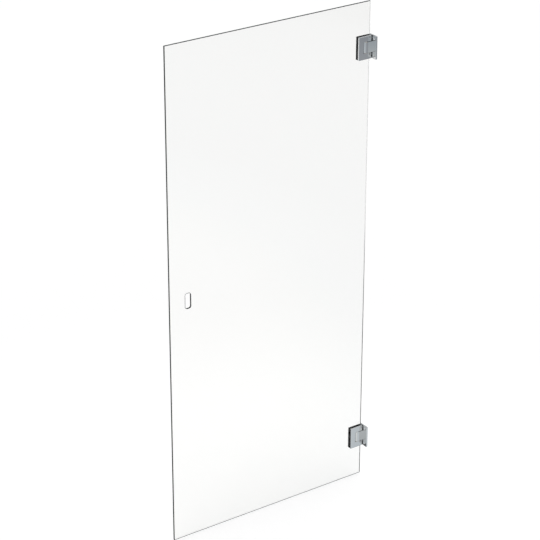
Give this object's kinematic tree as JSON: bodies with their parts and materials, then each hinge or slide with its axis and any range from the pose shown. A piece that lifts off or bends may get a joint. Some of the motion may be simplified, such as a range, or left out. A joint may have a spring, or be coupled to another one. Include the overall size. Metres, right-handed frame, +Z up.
{
  "type": "shower door",
  "caption": "Frameless glass shower door with a cut-out finger pull, hung on a wall by clamp hinges with offset wall plates, opening both ways.",
  "frame": {"origin": "middle of the lower hinge on the wall plate's back face, in the middle plane of the glass", "axes": "+X out of the wall plates' backs, into the wall; the glass reaches out along -X; -Y towards the room, the side that the plates' wings are on; +Z up"},
  "size_m": [0.905, 0.047, 2],
  "materials": {
    "glass": "clear toughened, polished edges",
    "chrome": "polished",
    "gasket_rubber": "matt",
    "pin_steel": "ground",
    "bush_plastic": "moulded",
    "spring_steel": "drawn",
    "screw_steel": "satin"
  },
  "bodies": {
    "wall": {"lower_wall_plate": "chrome", "lower_top_bush": "bush_plastic", "lower_bottom_bush": "bush_plastic", "lower_cam_springs": "spring_steel", "lower_grub_screws": "screw_steel", "upper_wall_plate": "chrome", "upper_top_bush": "bush_plastic", "upper_bottom_bush": "bush_plastic", "upper_cam_springs": "spring_steel", "upper_grub_screws": "screw_steel"},
    "door": {"glass_panel": "glass", "lower_pivot_pin": "pin_steel", "lower_front_clamp": "chrome", "lower_rear_clamp": "chrome", "lower_front_gasket": "gasket_rubber", "lower_rear_gasket": "gasket_rubber", "lower_clamp_screws": "screw_steel", "upper_pivot_pin": "pin_steel", "upper_front_clamp": "chrome", "upper_rear_clamp": "chrome", "upper_front_gasket": "gasket_rubber", "upper_rear_gasket": "gasket_rubber", "upper_clamp_screws": "screw_steel"},
    "lower_cams": {"lower_cam_followers": "bush_plastic"},
    "upper_cams": {"upper_cam_followers": "bush_plastic"}
  },
  "joints": [
    {"name": "door_swing", "type": "hinge", "parent": "wall", "child": "door", "pos_m": [-0.031, 0, 0], "axis": [0, 0, 1], "range_deg": [-90, 90]},
    {"name": "lower_cam_travel", "type": "slide", "parent": "wall", "child": "lower_cams", "axis": [1, 0, 0], "range_m": [-0.0009, 0], "stiffness_N_per_m": 4000, "springref_m": -0.01, "deforming": ["lower_cam_springs"]},
    {"name": "upper_cam_travel", "type": "slide", "parent": "wall", "child": "upper_cams", "axis": [1, 0, 0], "range_m": [-0.0009, 0], "stiffness_N_per_m": 4000, "springref_m": -0.01, "deforming": ["upper_cam_springs"]}
  ],
  "couplings": [
    {"joint": "upper_cam_travel", "follows": "lower_cam_travel", "ratio": 1}
  ]
}
